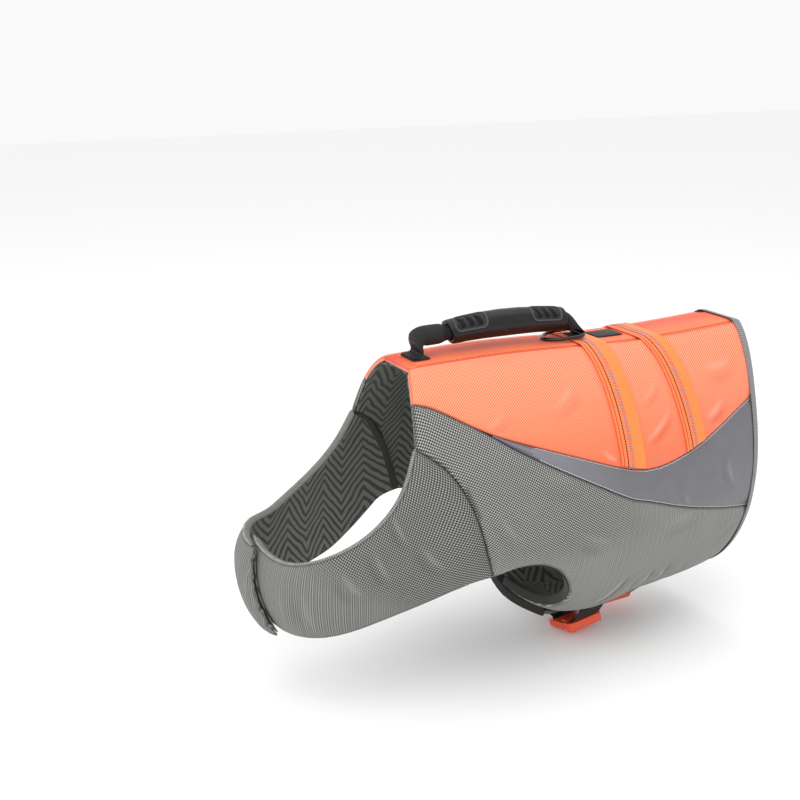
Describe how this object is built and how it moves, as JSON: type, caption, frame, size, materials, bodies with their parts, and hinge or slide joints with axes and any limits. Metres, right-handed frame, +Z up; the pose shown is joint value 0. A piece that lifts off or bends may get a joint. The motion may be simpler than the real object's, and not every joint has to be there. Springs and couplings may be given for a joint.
{
  "type": "dog life jacket",
  "caption": "Foam-filled dog life jacket in worn shape, with a top grip, a leash ring, a chest band and belly straps with side-release buckles.",
  "frame": {"origin": "on the inner face of the lining under the middle of the back, where the jacket lies on the dog", "axes": "+X towards the tail along the spine, +Z up, -Y is the dog's left side"},
  "size_m": [0.5873, 0.2492, 0.3886],
  "materials": {
    "orange_cloth": "coated twill over foam",
    "grey_cloth": "coarse ballistic weave",
    "reflective_cloth": "smooth retroreflective",
    "lining_cloth": "stretch knit with raised lines",
    "edge_binding": "ribbed tape",
    "orange_webbing": "flat woven webbing",
    "black_webbing": "ribbed webbing",
    "grip_rubber": "satin moulded",
    "ring_metal": "black gloss",
    "tag_rubber": "matte moulded",
    "buckle_plastic": "satin moulded"
  },
  "bodies": {
    "jacket": {"back_panel_left": "orange_cloth", "back_panel_right": "orange_cloth", "buckle_plug_front": "buckle_plastic", "buckle_plug_rear": "buckle_plastic", "buckle_socket_front": "buckle_plastic", "buckle_socket_rear": "buckle_plastic", "chest_band_left": "grey_cloth", "chest_band_right": "grey_cloth", "chest_lining_left": "lining_cloth", "chest_lining_right": "lining_cloth", "handle_grip": "grip_rubber", "handle_tab": "black_webbing", "handle_webbing": "black_webbing", "leg_binding_left": "edge_binding", "leg_binding_right": "edge_binding", "lining_left": "lining_cloth", "lining_right": "lining_cloth", "rear_binding": "edge_binding", "reflective_panel_left": "reflective_cloth", "reflective_panel_right": "reflective_cloth", "side_panel_left": "grey_cloth", "side_panel_right": "grey_cloth", "side_tag": "tag_rubber", "spine_strip": "orange_cloth", "strap_left_front": "black_webbing", "strap_left_rear": "black_webbing", "strap_right_front": "black_webbing", "strap_right_rear": "black_webbing", "webbing_band_front": "orange_webbing", "webbing_band_rear": "orange_webbing"},
    "ring": {"d_ring": "ring_metal"}
  },
  "joints": [
    {"name": "ring_tilt", "type": "hinge", "parent": "jacket", "child": "ring", "pos_m": [0.0222, 0, 0.0159], "axis": [0, 1, 0], "range_deg": [0, 6]}
  ]
}
